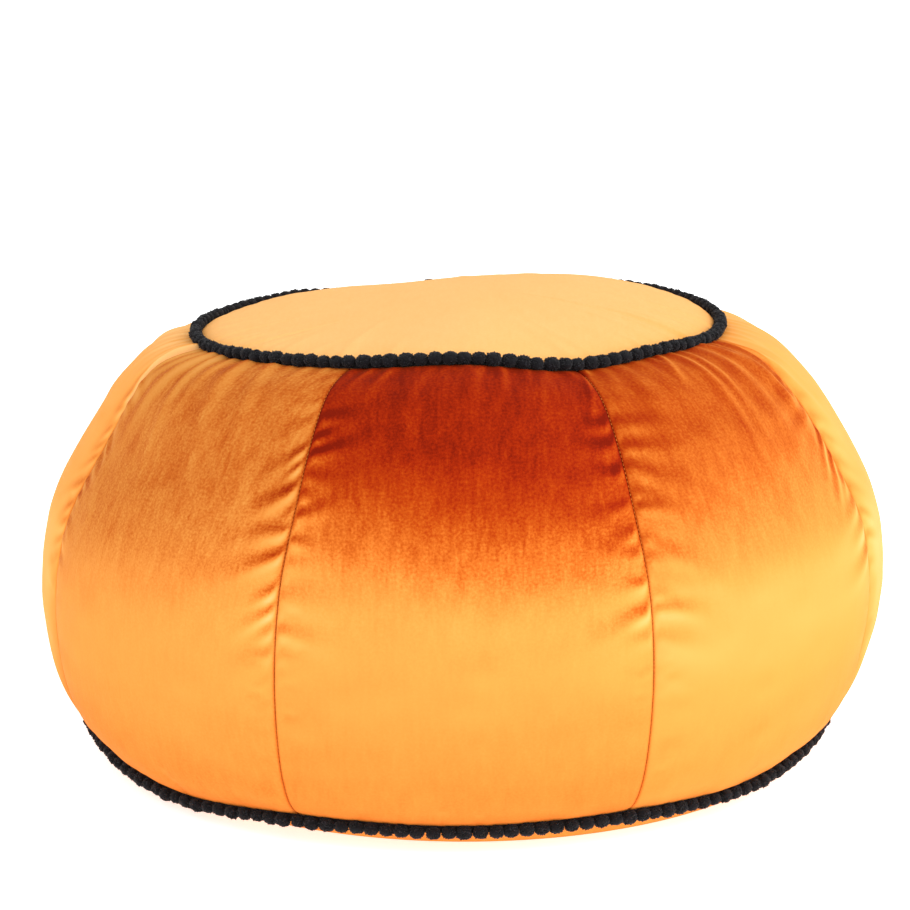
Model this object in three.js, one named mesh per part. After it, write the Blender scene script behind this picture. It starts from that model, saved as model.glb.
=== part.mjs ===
// A round floor cushion in velvet: a crowned top panel, eight side panels and a base panel, all filled,
// with a black pompom trim sewn into the upper and the lower ring seam.
// Millimetres, +Z up. The origin is the centre of the base, on the floor, and -Y is the front.
import * as THREE from "three";
import { mergeVertices } from "three/addons/utils/BufferGeometryUtils.js";

// Main sizes
const RADIUS = 300; // half of the widest diameter
const GORES = 8; // side panels
const GAP = 0.3; // clearance between two pieces
const LEAN = -5; // how far both rings sit off centre, along X
const WIDEN = 0.032; // how far a seam at the side is turned backwards, in radians: the front panels are wider

// The filled shape
const CROWN = 22.5; // rise of the top panel above its ring seam
const CROWN_FULLNESS = 0.65; // 1 would be a plain dome; less is flatter, with rounder shoulders
const CROWN_SKEW = 11.5; // how much more the filling lifts the right half of the crown than the left
const DISH = 12; // how far the middle of the top panel's inner face lies below its ring seam
const BASE_THICKNESS = 10; // base panel at its middle
const CONTACT_RADIUS = 246; // flat part of the base that touches the floor
const BULGE = 2.5; // how far the middle of a side panel stands outside its two seams
const SEAM_DEPTH = 2.5; // pinched groove along every seam
const SEAM_WIDTH = 10; // reach of that groove to either side

// Gathers that the pulled seams leave beside them
const GATHER = {
  pitch: 36, // along the seam, from one gather to the next
  depth: 2.2, // each stands out or lies in by this much
  from: 0.12, // share of the seam, from below, where they start
  to: 0.88, // and where they end
  reach: 0.5, // share of half a panel that they run in from its seam
  slant: 2.4, // how far they turn downwards on their way in, in radians of their wave
  uneven: 0.35, // how much one differs from the next
};

// Ring seams: radius and mean height of the stitch line, and the outward direction in which the trim sits
const TOP_RING = { radius: 183, height: 288.5, outward: new THREE.Vector2(0.37, 0.93) };
const BASE_RING = { radius: 265, height: 20.5, outward: new THREE.Vector2(0.77, -0.64) };

// Height of the two stitch lines above their mean, as the filling pushes them, by angle from the front
const RING_WAVE = [
  { angle: 0.0, top: 8.5, base: -2.5 },
  { angle: 22.5, top: 1.5, base: -1 },
  { angle: 45.0, top: 4, base: -3 },
  { angle: 67.5, top: 1, base: 3 },
  { angle: 90.0, top: 2, base: 4 },
  { angle: 112.5, top: 3, base: 3 },
  { angle: 135.0, top: 3.5, base: 0 },
  { angle: 157.5, top: -0.5, base: 1 },
  { angle: 180.0, top: -3, base: -1 },
  { angle: 202.5, top: -7.5, base: 0 },
  { angle: 225.0, top: -5, base: -2 },
  { angle: 247.5, top: -6, base: 1 },
  { angle: 270.0, top: -5, base: 2 },
  { angle: 292.5, top: -4.5, base: -1 },
  { angle: 315.0, top: -0.5, base: -8 },
  { angle: 337.5, top: 3.5, base: -2.5 },
];

// Side of the cushion at the middle of a panel: radius as a share of RADIUS, height in millimetres
const SIDE_PROFILE = [
  { share: 0.934, height: 34 },
  { share: 0.972, height: 59 },
  { share: 0.996, height: 98 },
  { share: 0.996, height: 137 },
  { share: 0.967, height: 177 },
  { share: 0.895, height: 217 },
  { share: 0.812, height: 255 },
  { share: 0.724, height: 280 },
];

// Pompom trim: sections of one pompom, where seat is their height over the stitch line
const POMPOM_SECTIONS = [
  { along: 0.0, radius: 2.3, seat: 2.8 },
  { along: 0.32, radius: 4.7, seat: 5.1 },
  { along: 0.68, radius: 4.7, seat: 5.1 },
];
const POMPOM_SIDES = 4;
const TOP_POMPOMS = 124;
const BASE_POMPOMS = 172;

// How finely the faces are divided
const ACROSS = [-1, -0.94, -0.8, -0.6, -0.32, 0, 0.32, 0.6, 0.8, 0.94, 1]; // shares of half a side panel
const ROWS_PER_GATHER = 3;
const END_ROWS = [0, 0.012, 0.028, 0.05]; // the rows nearest a ring, as shares of the panel's length
const INNER_RINGS = 4; // steps of each inner joint face, from its ring to the middle
const CROWN_RINGS = [1, 0.975, 0.94, 0.88, 0.74, 0.55, 0.3]; // shares of the ring radius
const ROLL_STEPS = [0, 0.25, 0.5, 0.8, 1]; // from the flat part of the base up to its ring seam

const TURN = 2 * Math.PI;
const HALF_GORE = Math.PI / GORES;

// Height of a wave column at an angle from the front, on a smooth curve through the table's rows
function wave(column, angle) {
  const count = RING_WAVE.length;
  const place = (THREE.MathUtils.euclideanModulo(angle, TURN) / TURN) * count;
  const row = Math.floor(place);
  const t = place - row;
  const rows = [-1, 0, 1, 2].map((step) => RING_WAVE[(row + step + count) % count]);
  const [before, from, to, after] = rows.map((near) => near[column]);
  const slope = to - before;
  const bend = 2 * before - 5 * from + 4 * to - after;
  const twist = 3 * (from - to) + after - before;
  return from + 0.5 * t * (slope + t * (bend + t * twist));
}

// A point at a radius, an angle from the front (-Y) towards +X, and a height
function polar(radius, angle, height) {
  return new THREE.Vector3(radius * Math.sin(angle), -radius * Math.cos(angle), height);
}

const topSeamRadius = (angle) => TOP_RING.radius + LEAN * Math.sin(angle);
const baseSeamRadius = (angle) => BASE_RING.radius + LEAN * Math.sin(angle);
const topSeamHeight = (angle) => TOP_RING.height + wave("top", angle);
const baseSeamHeight = (angle) => BASE_RING.height + wave("base", angle);

// Where an angle lands once the front panels are widened and the back ones narrowed
const widened = (angle) => angle + WIDEN * Math.sin(angle);

// Groove depth at a distance from a seam
const groove = (distance) => SEAM_DEPTH * Math.exp(-((distance / SEAM_WIDTH) ** 2) * 2);

// Bowl-shaped joint between the top panel and the filled side panels
function topJoint(share, angle) {
  const middle = TOP_RING.height - DISH;
  return middle + (topSeamHeight(angle) - middle) * share ** 2;
}

// Bowl-shaped joint between the side panels and the base panel
function baseJoint(share, angle) {
  return BASE_THICKNESS + (baseSeamHeight(angle) - BASE_THICKNESS) * share ** 2;
}

// Where a side panel would reach a ring if the seam didn't pull it in
function sideEnd(ring, lift) {
  const stitch = new THREE.Vector2(ring.radius, ring.height + lift);
  return stitch.addScaledVector(ring.outward, SEAM_DEPTH);
}

const sideCurve = new THREE.SplineCurve([
  sideEnd(BASE_RING, GAP),
  ...SIDE_PROFILE.map((row) => new THREE.Vector2(row.share * RADIUS, row.height)),
  sideEnd(TOP_RING, -GAP),
]);
const sideLength = sideCurve.getLength();

// Rows of a side panel, as shares of its length: close together beside the two rings
function sideRows() {
  const first = END_ROWS[END_ROWS.length - 1];
  const middleRows = Math.round((ROWS_PER_GATHER * sideLength * (1 - 2 * first)) / GATHER.pitch) - 1;
  const middle = [];
  for (let row = 1; row <= middleRows; row += 1) {
    middle.push(first + ((1 - 2 * first) * row) / (middleRows + 1));
  }
  return [...END_ROWS, ...middle, ...END_ROWS.map((share) => 1 - share).reverse()];
}

// Gathers: soft ridges that start beside the seam and slant down as they run in
function gather(share, across, panel) {
  const inward = (1 - Math.abs(across)) / GATHER.reach;
  if (share < GATHER.from || share > GATHER.to || inward > 1) {
    return 0;
  }
  const along = Math.sin((Math.PI * (share - GATHER.from)) / (GATHER.to - GATHER.from));
  const beside = Math.sin(Math.PI * Math.sqrt(inward));
  const turns = (share * sideLength) / GATHER.pitch;
  const side = Math.sign(across);
  const size = 1 + GATHER.uneven * Math.sin(turns * 2.4 + panel * 1.9 + side);
  const fold = Math.sin(TURN * turns + GATHER.slant * inward + side);
  return GATHER.depth * size * Math.sqrt(along) * beside * fold;
}

// One point of a side panel's outer face
function sidePoint(share, across, panel) {
  const angle = widened((panel + across / 2) * (TURN / GORES));
  const at = sideCurve.getPointAt(share);
  const swell = Math.sin(Math.PI * share) ** 0.6;
  const fromEdge = (1 - Math.abs(across)) * HALF_GORE * at.x;
  const flat = BULGE * across ** 4 * swell;
  const nearEnd = groove(Math.min(share, 1 - share) * sideLength);
  const pinch = groove(fromEdge) * swell;
  const lower = 1 - THREE.MathUtils.smoothstep(share, 0, 0.55);
  const upper = THREE.MathUtils.smoothstep(share, 0.4, 1);
  const offCentre = lower + THREE.MathUtils.smoothstep(share, 0.65, 1);
  const height = at.y + wave("base", angle) * lower + wave("top", angle) * upper;
  const radius = at.x - flat - pinch + gather(share, across, panel) + LEAN * Math.sin(angle) * offCentre;
  const outward = share < 0.5 ? BASE_RING.outward : TOP_RING.outward;
  return polar(radius - nearEnd * outward.x, angle, height - nearEnd * outward.y);
}

// Joins rings of points into faces. Each ring lists the same number of points, and closed rings wrap around.
// Two pieces that share a joint split its faces along the same diagonal: one of them is "crossed".
function stitch(faces, rings, closed, crossed = false) {
  for (let ring = 0; ring < rings.length - 1; ring += 1) {
    const low = rings[ring];
    const high = rings[ring + 1];
    const count = closed ? low.length : low.length - 1;
    for (let at = 0; at < count; at += 1) {
      const next = (at + 1) % low.length;
      if (crossed) {
        faces.push([low[at], low[next], high[at]], [low[next], high[next], high[at]]);
      } else {
        faces.push([low[at], low[next], high[next]], [low[at], high[next], high[at]]);
      }
    }
  }
}

// Closes an opening with a fan of faces around one point
function fan(faces, ring, point, closed) {
  const count = closed ? ring.length : ring.length - 1;
  for (let at = 0; at < count; at += 1) {
    faces.push([ring[at], ring[(at + 1) % ring.length], point]);
  }
}

function geometryOf(faces) {
  const geometry = new THREE.BufferGeometry();
  geometry.setFromPoints(faces.flat());
  const merged = mergeVertices(geometry, 1e-4);
  merged.computeVertexNormals();
  return merged;
}

// A filled side panel: its outer face, the bowl-shaped joints above and below, and two flat flanks
function sidePanel(number) {
  const middleAngle = (number * TURN) / GORES;
  const firstSeam = widened(middleAngle - HALF_GORE);
  const lastSeam = widened(middleAngle + HALF_GORE);
  const shift = polar(GAP / 2 / Math.sin((lastSeam - firstSeam) / 2), (firstSeam + lastSeam) / 2, 0);
  const shares = sideRows();
  const place = (point) => point.add(shift);
  const outer = shares.map((share) => ACROSS.map((across) => place(sidePoint(share, across, number))));
  const joint = (edge, heightAt, offset) => {
    const rings = [];
    for (let ring = 1; ring < INNER_RINGS; ring += 1) {
      const inward = 1 - ring / INNER_RINGS;
      rings.push(edge.map((point, at) => {
        const angle = widened(middleAngle + ACROSS[at] * HALF_GORE);
        const flat = point.clone().sub(shift).multiplyScalar(inward);
        return place(new THREE.Vector3(flat.x, flat.y, heightAt(inward, angle) + offset));
      }));
    }
    return rings;
  };
  const upper = joint(outer[outer.length - 1], topJoint, -GAP);
  const lower = joint(outer[0], baseJoint, GAP);
  const crest = place(polar(0, 0, topJoint(0, 0) - GAP));
  const foot = place(polar(0, 0, baseJoint(0, 0) + GAP));
  const faces = [];
  const loops = [...[...lower].reverse(), ...outer, ...upper];
  stitch(faces, loops, false);
  fan(faces, upper[upper.length - 1], crest, false);
  fan(faces, [...lower[lower.length - 1]].reverse(), foot, false);
  const sides = [0, ACROSS.length - 1];
  for (const side of sides) {
    const outline = [foot, ...loops.map((row) => row[side]), crest];
    const flat = outline.map((point) => {
      return new THREE.Vector2(Math.hypot(point.x - shift.x, point.y - shift.y), point.z);
    });
    for (const corners of THREE.ShapeUtils.triangulateShape(flat, [])) {
      const face = corners.map((corner) => outline[corner]);
      const turnsLeft = THREE.ShapeUtils.area(corners.map((corner) => flat[corner])) > 0;
      faces.push(turnsLeft === (side === 0) ? face : face.reverse());
    }
  }
  return geometryOf(faces);
}

// Angles of all the side panels' columns, each seam once
function columnAngles() {
  const angles = [];
  for (let gore = 0; gore < GORES; gore += 1) {
    for (const across of ACROSS.slice(0, -1)) {
      angles.push(widened((gore * TURN) / GORES + across * HALF_GORE));
    }
  }
  return angles;
}

// The crowned top panel over its bowl-shaped joint
function topPanel() {
  const angles = columnAngles();
  const ringOf = (share, heightAt) => angles.map((angle) => {
    return polar(share * topSeamRadius(angle), angle, heightAt(share, angle));
  });
  const crownHeight = (share, angle) => {
    const wavy = TOP_RING.height + wave("top", angle) * share ** 2;
    const rise = CROWN * (1 - share ** 2) ** CROWN_FULLNESS;
    const skew = CROWN_SKEW * Math.sin(angle) * share * (1 - share ** 2);
    const settled = SEAM_DEPTH - groove((1 - share) * TOP_RING.radius);
    return wavy + rise + skew + settled;
  };
  const crown = CROWN_RINGS.map((share) => ringOf(share, crownHeight));
  const under = [];
  for (let ring = 1; ring < INNER_RINGS; ring += 1) {
    under.push(ringOf(1 - ring / INNER_RINGS, topJoint));
  }
  const faces = [];
  stitch(faces, [...under.reverse(), crown[0]], true, true);
  stitch(faces, crown, true);
  fan(faces, crown[crown.length - 1], polar(0, 0, crownHeight(0, 0)), true);
  fan(faces, [...under[0]].reverse(), polar(0, 0, topJoint(0, 0)), true);
  return geometryOf(faces);
}

// The base panel: flat where it stands, then rolled up to its ring seam
function basePanel() {
  const angles = columnAngles();
  const outer = ROLL_STEPS.map((step) => angles.map((angle) => {
    const radius = THREE.MathUtils.lerp(CONTACT_RADIUS, baseSeamRadius(angle), step);
    return polar(radius, angle, baseSeamHeight(angle) * step ** 1.4);
  }));
  const inner = [];
  for (let ring = 1; ring < INNER_RINGS; ring += 1) {
    const share = 1 - ring / INNER_RINGS;
    inner.push(angles.map((angle) => polar(share * baseSeamRadius(angle), angle, baseJoint(share, angle))));
  }
  const faces = [];
  stitch(faces, outer, true);
  stitch(faces, [outer[outer.length - 1], ...inner], true, true);
  fan(faces, inner[inner.length - 1], polar(0, 0, baseJoint(0, 0)), true);
  fan(faces, [...outer[0]].reverse(), polar(0, 0, 0), true);
  return geometryOf(faces);
}

// A closed string of pompoms: thin and fat sections by turns, each with a corner towards the seam
function pompomTrim(ring, column, count) {
  const sections = [];
  const facing = ring.outward.angle();
  for (let pompom = 0; pompom < count; pompom += 1) {
    for (const step of POMPOM_SECTIONS) {
      const angle = ((pompom + step.along) / count) * TURN;
      const radius = ring.radius + LEAN * Math.sin(angle) + ring.outward.x * step.seat;
      const centre = polar(radius, angle, ring.height + wave(column, angle) + ring.outward.y * step.seat);
      const section = [];
      for (let corner = 0; corner < POMPOM_SIDES; corner += 1) {
        const spin = facing - (corner / POMPOM_SIDES) * TURN;
        const offset = polar(step.radius * Math.cos(spin), angle, step.radius * Math.sin(spin));
        section.push(offset.add(centre));
      }
      sections.push(section);
    }
  }
  const faces = [];
  stitch(faces, [...sections, sections[0]], true);
  return geometryOf(faces);
}

const velvet = () => new THREE.MeshStandardMaterial({ color: 0xe0691f, roughness: 0.75, metalness: 0 });
const lightVelvet = () => new THREE.MeshStandardMaterial({ color: 0xf7b266, roughness: 0.75, metalness: 0 });
const blackYarn = () => new THREE.MeshStandardMaterial({ color: 0x1b1b20, roughness: 0.95, metalness: 0 });

function named(name, geometry, material) {
  const mesh = new THREE.Mesh(geometry, material);
  mesh.name = name;
  return mesh;
}

const cushion = new THREE.Group();
cushion.add(named("top_panel", topPanel(), lightVelvet()));
for (let number = 0; number < GORES; number += 1) {
  cushion.add(named(`side_panel_${number + 1}`, sidePanel(number), velvet()));
}
cushion.add(named("base_panel", basePanel(), velvet()));
cushion.add(named("trim_top", pompomTrim(TOP_RING, "top", TOP_POMPOMS), blackYarn()));
cushion.add(named("trim_bottom", pompomTrim(BASE_RING, "base", BASE_POMPOMS), blackYarn()));

export default cushion;
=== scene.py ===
# The looks of a round velvet floor cushion: stuffed side panels, a crowned top and pompom trims.
# Sizes are in millimetres, as in the part's source, and turn into metres where a mesh is made.
import math

import bmesh
import bpy
import numpy as np
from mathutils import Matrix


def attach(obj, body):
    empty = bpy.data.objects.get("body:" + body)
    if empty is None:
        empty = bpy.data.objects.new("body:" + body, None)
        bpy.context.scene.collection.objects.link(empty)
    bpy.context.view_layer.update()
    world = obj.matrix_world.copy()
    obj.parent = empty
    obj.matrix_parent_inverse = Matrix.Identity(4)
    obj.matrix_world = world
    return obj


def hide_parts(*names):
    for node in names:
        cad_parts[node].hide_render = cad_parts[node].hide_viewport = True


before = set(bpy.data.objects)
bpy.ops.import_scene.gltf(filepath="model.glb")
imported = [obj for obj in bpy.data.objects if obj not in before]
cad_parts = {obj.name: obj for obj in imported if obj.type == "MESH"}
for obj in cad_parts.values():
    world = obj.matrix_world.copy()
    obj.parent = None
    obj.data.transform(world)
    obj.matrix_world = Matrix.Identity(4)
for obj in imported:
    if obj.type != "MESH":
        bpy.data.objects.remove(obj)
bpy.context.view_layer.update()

MM = 0.001
TURN = 2 * math.pi
TINY = 1e-9  # stands in for a length of 0 in a division

# Main sizes, the same as in the part's source but for GAP and CROWN
RADIUS = 300  # half of the widest diameter
GORES = 8  # side panels
HALF_GORE = math.pi / GORES  # half the angle that a side panel spans
GAP = 0.1  # clearance between two side panels, less than between their solids
LEAN = -5  # how far both rings sit off centre, along X
WIDEN = 0.032  # how far a seam at the side is turned backwards, in radians: the front panels are wider

# The filled shape
CROWN = 25.3  # rise of the top panel above its ring seam, a little more than the solid's
CROWN_FULLNESS = 0.65  # 1 would be a plain dome; less is flatter, with rounder shoulders
CROWN_SKEW = 11.5  # how much more the filling lifts the right half of the crown than the left
CONTACT_RADIUS = 246  # flat part of the base that touches the floor
BULGE = 2.5  # how far the middle of a side panel stands outside its two seams
SWELL_POWER = 0.6  # below 1, a side panel keeps its bulge nearer to its ends

# Ring seams: radius and mean height of the stitch line, the outward direction in which the trim sits, its
# number of pompoms and their seed, and the height of the stitch line above its mean at even angles from
# the front
TOP_RING = {
    "radius": 183, "height": 288.5, "outward": (0.37, 0.93), "pompoms": 124, "seed": 11,
    "wave": [8.5, 1.5, 4, 1, 2, 3, 3.5, -0.5, -3, -7.5, -5, -6, -5, -4.5, -0.5, 3.5],
}
BASE_RING = {
    "radius": 265, "height": 20.5, "outward": (0.77, -0.64), "pompoms": 172, "seed": 12,
    "wave": [-2.5, -1, -3, 3, 4, 3, 0, 1, -1, 0, -2, 1, 2, -1, -8, -2.5],
}

# Side of the cushion at the middle of a panel: radius as a share of RADIUS, then height
SIDE_PROFILE = [
    (0.934, 34), (0.972, 59), (0.996, 98), (0.996, 137),
    (0.967, 177), (0.895, 217), (0.812, 255), (0.724, 280),
]
PROFILE_STEPS = 400  # points on the smooth curve through the profile

# Shares of the side's length, from below, over which it stops following the base ring, starts following the
# top ring, and starts lying off centre with the top ring
WITH_BASE = (0, 0.55)
WITH_TOP = (0.4, 1)
OFF_CENTRE_WITH_TOP = (0.65, 1)

# Seams as they look close up: a shallow valley with a tight crease at its bottom
VALLEY = {"depth": 1.3, "reach": 9.0}
CREASE = {"depth": 0.9, "reach": 0.9}

# Behind the seams: how deep the cloth is turned in, and where the hidden backs of the panels meet
TUCK = 6.0
SIDE_HUB = {"radius": 150.0, "height": 150.0}
ROUND_HUB_DEPTH = 10

# Grids: the simulated cloth of a side panel, its finished surface, and the round panels. Crowding draws
# the rows or columns of a grid towards the seams.
CLOTH_ROWS, CLOTH_COLUMNS = 84, 48
ROWS, ROW_CROWDING = 190, 0.35
COLUMNS, COLUMN_CROWDING = 112, 0.8
TOP_STEPS, TOP_CROWDING = 70, 0.4
ROLL_STEPS = 14
ROUND_COLUMNS = 480

# A side panel before its cloth settles: its own unevenness, with bumps some cells wide that keep clear of
# the seams, and the share by which it is cut longer beside its seams, but for this share at both ends
UNEVEN = {"height": 0.35, "cells": 4, "clear": 10, "seed": 40}
SLACK = {"share": 0.1, "reach": 38, "ends": 0.05}

# The cloth simulation, in its own units
CLOTH_FRAMES = 28
CLOTH_REACH = 3.0  # the furthest that a point of the cloth may move
CLOTH_SETTINGS = {
    "quality": 6,
    "mass": 0.02,
    "tension_stiffness": 80,
    "compression_stiffness": 80,
    "shear_stiffness": 8,
    "bending_stiffness": 0.5,
    "tension_damping": 2,
    "compression_damping": 2,
    "shear_damping": 2,
    "bending_damping": 0.5,
    "use_pressure": True,
    "uniform_pressure_force": 100,
    "pin_stiffness": 1,
}

# Puckers, the short folds beside the side seams. Places are shares of the side's length, from below. A
# weak pucker has these shares of a strong one's length and depth. Slopes are how far it falls, and widening
# how much it widens, for each step inwards. The furrow above it has this share of its depth, and lies this
# many widths above it.
PUCKER = {
    "seed": 500,
    "between": (0.16, 0.93),
    "setting_in": (0.28, 0.45),
    "fading_out": (0.78, 0.92),
    "pitch": (10, 21),
    "length": (10, 30),
    "depth": (0.25, 0.7),
    "width": (2.6, 4.6),
    "widening": 0.1,
    "weak_length": 0.5,
    "weak_depth": 0.1,
    "slope": (0.1, 0.9),
    "slope_front_and_back": (-0.4, 0.5),
    "furrow_depth": 0.5,
    "furrow_place": 1.6,
}
SEAM_CLEAR = 2.5  # how near to a seam the folds of a side panel die away

# Folds that run away from the ring seams. Each has a strength, a width and a sideways drift, is spaced by
# a share of the pitch, and dies away this near to the seam. A share of them is longer, deeper and wider.
FOLD = {"strength": (0.4, 1), "width": (2.6, 4.4), "drift": (-0.3, 0.3), "spacing": (0.7, 1.3), "clear": 3}
LONG_FOLD = {"share": 0.2, "length": 2.8, "depth": 1.5, "width": 1.5}
SHORT_FOLD = {"length": 1, "depth": 1, "width": 1}

# Angles from the front where the filling pulls a ring seam, how far around each it does, and how much
# that adds to the depth and length of a fold, up to a longest one
PULLED = (math.radians(55), math.radians(-62) % TURN)
PULL = {"reach": 0.3, "depth": 1.8, "length": 1.4, "longest": 75}
FOLDS = {
    "side_top": {"seed": 71, "pitch": 13, "length": (14, 36), "depth": 1.0, "pulled": PULLED},
    "side_base": {"seed": 72, "pitch": 17, "length": (8, 18), "depth": 0.4, "pulled": ()},
    "top": {"seed": 73, "pitch": 15, "length": (12, 30), "depth": 0.8, "pulled": PULLED},
    "base": {"seed": 74, "pitch": 14, "length": (8, 18), "depth": 0.5, "pulled": ()},
}

# Unevenness of the crown: its height, and waves with their turns along X and Y and their start
TOP_UNEVEN = 0.7
TOP_WAVES = ((5.1, 2.3, 0.6), (2.7, -4.3, 2.1))

# The roll of the base, from the floor to its ring seam: its length and how late it rises, and how far its
# folds stand out and hang down
ROLL = {"length": 1.4, "rise": 1.4, "fold_out": 0.7, "fold_down": 0.5}

# Pile of each side panel, counted from the front one towards +X. Tones run from 0, deep, to 1, pale.
# Besides the velvet's own colour, they hold painted shade and light.
# lit: tone where the pile stands upright, paler on the two panels at the sides by painted light
# dark: painted shade on the upper part, where the pile leans back: how much deeper the tone is there, paler
# as painted light where it is below 0
# fade: distances below the top seam between which the dark part ends
# turn: how the dark grows across the panel
# skew, arch: how the place of its fade moves across the panel, evenly and beside both seams
# painted dimming: how much painted shade darkens the whole colour of the dark part
# pucker, reach: how deep and how long the puckers are
# grain: how grainy the pile looks
# edge: painted shade beside the seams, how much deeper the tone is there
PILE = [
    {"lit": 0.68, "dark": 0.59, "fade": (76, 188), "turn": -0.02, "skew": 10, "arch": 14, "painted_dimming": 0.0,
     "pucker": 1.6, "reach": 1.0, "grain": 1.0, "edge": 0.0},
    {"lit": 0.75, "dark": 0.34, "fade": (55, 190), "turn": -0.08, "skew": -8, "arch": 0, "painted_dimming": 0.12,
     "pucker": 1.7, "reach": 1.6, "grain": 0.8, "edge": 0.0},
    {"lit": 0.90, "dark": -0.04, "fade": (20, 100), "turn": -0.06, "skew": 0, "arch": 0, "painted_dimming": 0.0,
     "pucker": 0.8, "reach": 1.0, "grain": 0.5, "edge": 0.16},
    {"lit": 0.78, "dark": 0.34, "fade": (70, 190), "turn": 0.1, "skew": 0, "arch": 10, "painted_dimming": 0.0,
     "pucker": 1.4, "reach": 1.0, "grain": 0.9, "edge": 0.0},
    {"lit": 0.75, "dark": 0.58, "fade": (60, 190), "turn": 0.0, "skew": 0, "arch": 20, "painted_dimming": 0.0,
     "pucker": 1.5, "reach": 1.0, "grain": 1.0, "edge": 0.0},
    {"lit": 0.78, "dark": 0.42, "fade": (70, 200), "turn": 0.08, "skew": 0, "arch": 10, "painted_dimming": 0.05,
     "pucker": 1.4, "reach": 1.0, "grain": 0.9, "edge": 0.0},
    {"lit": 0.83, "dark": -0.17, "fade": (15, 90), "turn": 0.08, "skew": 0, "arch": 0, "painted_dimming": 0.0,
     "pucker": 0.8, "reach": 1.0, "grain": 0.5, "edge": 0.16},
    {"lit": 0.68, "dark": 0.08, "fade": (105, 235), "turn": 0.05, "skew": -40, "arch": 0, "painted_dimming": 0.23,
     "pucker": 1.8, "reach": 0.9, "grain": 1.25, "edge": 0.0},
]

# Pile of the top and the base. The top's tone holds painted light and shade: it is at its lit value where
# the panel faces up by this level, and changes with how far it faces up.
ROUND_PILE = {
    "top": {"lit": 1.04, "level": 0.93, "change": 0.6, "grain": 0.25},
    "base": {"lit": 0.74, "grain": 0.6},
}

# Painted shading of a side panel's shape: its tone follows how far the surface faces up and turns sideways.
# Tilts say how far a surface faces up, from -1 to 1, and limits keep a sharp fold from showing too much.
# The underside sets in between two distances below the top seam, takes a little painted shade that deepens
# its tone, and shows its folds less. Pile that faces nearly level takes a little painted light. The tone is
# deeper by painted shadow beside the trim and by painted shade in the crease, up to a reach from each.
FOLD_PAINTED_SHADING = {"tilt_limit": 0.35, "lean_limit": 0.4, "lean_weight": 0.5, "above": 1.2, "below": 0.4}
CLOTH_PAINTED_SHADING = {"tilt_limit": 0.3, "weight": 0.35}
PAINTED_SHINE = {"tone": 0.13, "tilt": 0.08, "reach": 0.28}
PAINTED_UNDERSIDE_SHADE = {"between": (160, 240), "tone": 0.05}
EDGE_REACH = 14
PAINTED_TRIM_SHADOW = {"tone": 0.1, "reach": 9}
PAINTED_CREASE_SHADE = {"tone": 0.18, "reach": 1.3}
PALEST = 1.08

# Grain: the least of it, its growth off the pale tones, and the shares of it that are left in the deepest
# tones and low on the panel, by distances below the top seam
GRAIN = {
    "least": 0.15,
    "growth": 1.25,
    "pale": (0.55, 0.88),
    "deep": (0.15, 0.4),
    "share_when_deep": 0.7,
    "low": (170, 230),
    "share_when_low": 0.3,
}

# Where each panel is cut from an endless sheet of velvet, so that no two show the same grain
SIDE_CUT_PITCH = 700
TOP_CUT = 7000
BASE_CUT = 8000

# A pompom: half of its size along the seam, across it and outwards, how much one differs from the next,
# how high it sits over the stitch line, how far it strays from its place as a share of the pitch, and how
# much its neighbours flatten it
POMPOM = {
    "half_sizes": (5.3, 4.8, 4.4),
    "size": (0.92, 1.07),
    "seat": 4.6,
    "seat_spread": 0.5,
    "stray": 0.06,
    "pressed": 0.9,
    "ball_detail": 3,
    "tufts": 150,
}

# Its yarn, on a pompom of radius 1: a lumpy core, and clipped tufts that stand in it
CORE = {"radius": 0.88, "lump": 0.035, "lumps": 5, "lump_turns": 5, "shade": 0.35, "shade_spread": 0.1}
TUFT = {
    "root": 0.8,
    "length": (0.94, 1.05),
    "half_width": (0.15, 0.25),
    "splay": 0.08,
    "bend": 0.045,
    "root_shade": 0.4,
}
TUFT_CORNERS = (0, TURN / 3, 2 * TURN / 3)
TUFT_FACES = ((0, 1, 3), (1, 2, 3), (2, 0, 3), (0, 2, 1))

# The braid behind the pompoms: its radius, its height over the stitch line, and its sides and steps for
# each pompom
BRAID = {"radius": 2.2, "seat": 2.2, "sides": 6, "steps": 4, "shade": 0.1}

# Stitches in the side seams: half of their length and width, how far they keep clear of the ring seams and
# lie above the bottom of the crease. They point along a short step up the seam, a share of its length.
STITCH = {
    "pitch": 2.8,
    "half_sizes": (0.95, 0.24),
    "clear": 10,
    "above": 0.5,
    "step": 0.002,
    "ball_detail": 2,
}


# Curves and small formulas

def between(a, b, c, d, t):
    """A smooth curve from b to c, with a before and d after them"""
    return b + 0.5 * t * (c - a + t * (2 * a - 5 * b + 4 * c - d + t * (3 * (b - c) + d - a)))


def ring_wave(ring, angle):
    """Height of a ring seam above its mean at an angle from the front"""
    table = np.asarray(ring["wave"], float)
    count = len(table)
    place = np.mod(angle, TURN) / TURN * count
    row = np.floor(place).astype(int)
    a, b, c, d = (table[(row + step) % count] for step in (-1, 0, 1, 2))
    return between(a, b, c, d, place - row)


def resample(grid, places, axis):
    """Smooth values of a grid at fractional places along one axis"""
    last = grid.shape[axis] - 1
    row = np.clip(np.floor(places).astype(int), 0, last - 1)
    a, b, c, d = (np.take(grid, np.clip(row + step, 0, last), axis=axis) for step in (-1, 0, 1, 2))
    shape = [1] * grid.ndim
    shape[axis] = len(places)
    return between(a, b, c, d, (places - row).reshape(shape))


def smooth(value, low, high):
    """From 0 at the low value to 1 at the high one, with soft ends"""
    t = np.clip((value - low) / (high - low), 0, 1)
    return t * t * (3 - 2 * t)


def near(distance, reach):
    """From 1 at a distance of 0 to almost 0 beyond twice the reach"""
    return np.exp(-(distance / reach) ** 2)


def mixed(first, second, share):
    """From the first value, at a share of 0, to the second, at 1"""
    return first + (second - first) * share


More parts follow.
